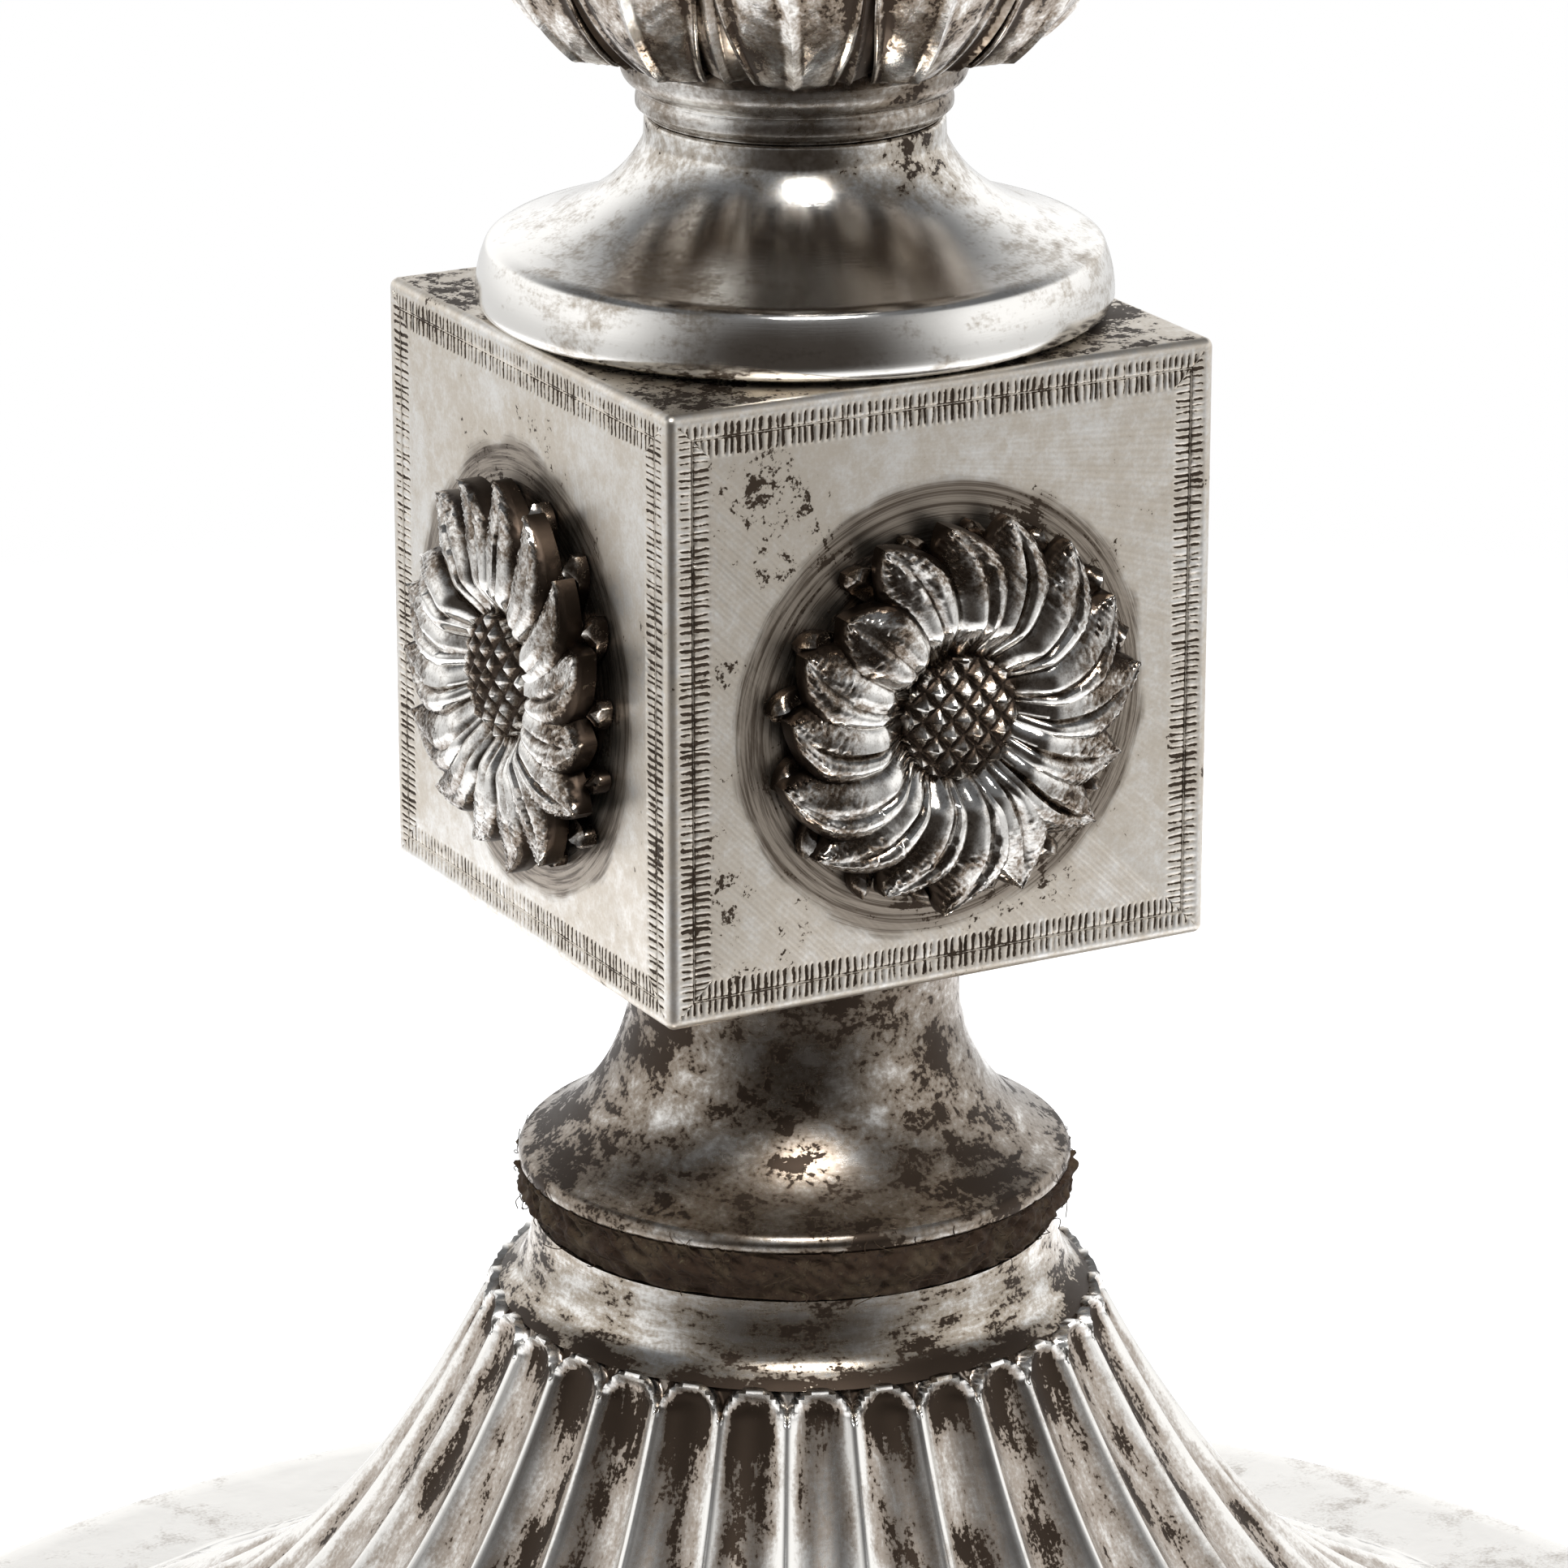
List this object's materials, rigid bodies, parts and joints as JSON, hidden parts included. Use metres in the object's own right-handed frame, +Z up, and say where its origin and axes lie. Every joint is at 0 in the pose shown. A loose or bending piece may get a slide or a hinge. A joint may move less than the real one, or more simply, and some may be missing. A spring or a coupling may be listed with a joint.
{
  "type": "candlestick",
  "caption": "Silver table candlestick with a round fluted foot, a cube knop with applied sunflowers, a leaf vase, a fluted stem and a lift-out drip pan.",
  "frame": {"origin": "centre of the foot, on the surface that the candlestick stands on", "axes": "+Z up along the tie rod and the stem; +X and +Y square to the faces of the cube knop"},
  "size_m": [0.135, 0.135, 0.2882],
  "materials": {
    "silver": "polished sterling silver with brown-black tarnish in the recesses",
    "oxidised_silver": "cast silver, oxidised dark in the recesses",
    "leather": "cut edge of dark brown leather",
    "iron": "dull turned iron",
    "brass": "dull turned brass"
  },
  "bodies": {
    "stand": {"foot_ring": "silver", "fluted_foot": "silver", "leather_washer": "leather", "lower_spool": "silver", "cube_bottom_plate": "silver", "cube_walls": "silver", "cube_top_plate": "silver", "sunflower_sepals_front": "oxidised_silver", "sunflower_petals_front": "silver", "sunflower_sepals_right": "oxidised_silver", "sunflower_petals_right": "silver", "sunflower_sepals_back": "oxidised_silver", "sunflower_petals_back": "silver", "sunflower_sepals_left": "oxidised_silver", "sunflower_petals_left": "silver", "flared_disc": "silver", "vase_collar": "silver", "leaf_calyx": "silver", "vase_shoulder": "silver", "vase_neck_ring": "silver", "fluted_column": "silver", "column_head_ring": "silver", "socket_calyx": "silver", "candle_socket": "silver", "tie_rod": "iron", "clamp_washer": "iron", "clamp_nut": "iron", "rod_boss": "brass"},
    "pan": {"drip_pan": "silver"}
  },
  "joints": [
    {"name": "pan_lift", "type": "slide", "parent": "stand", "child": "pan", "axis": [0, 0, 1], "range_m": [0, 0.022]}
  ]
}
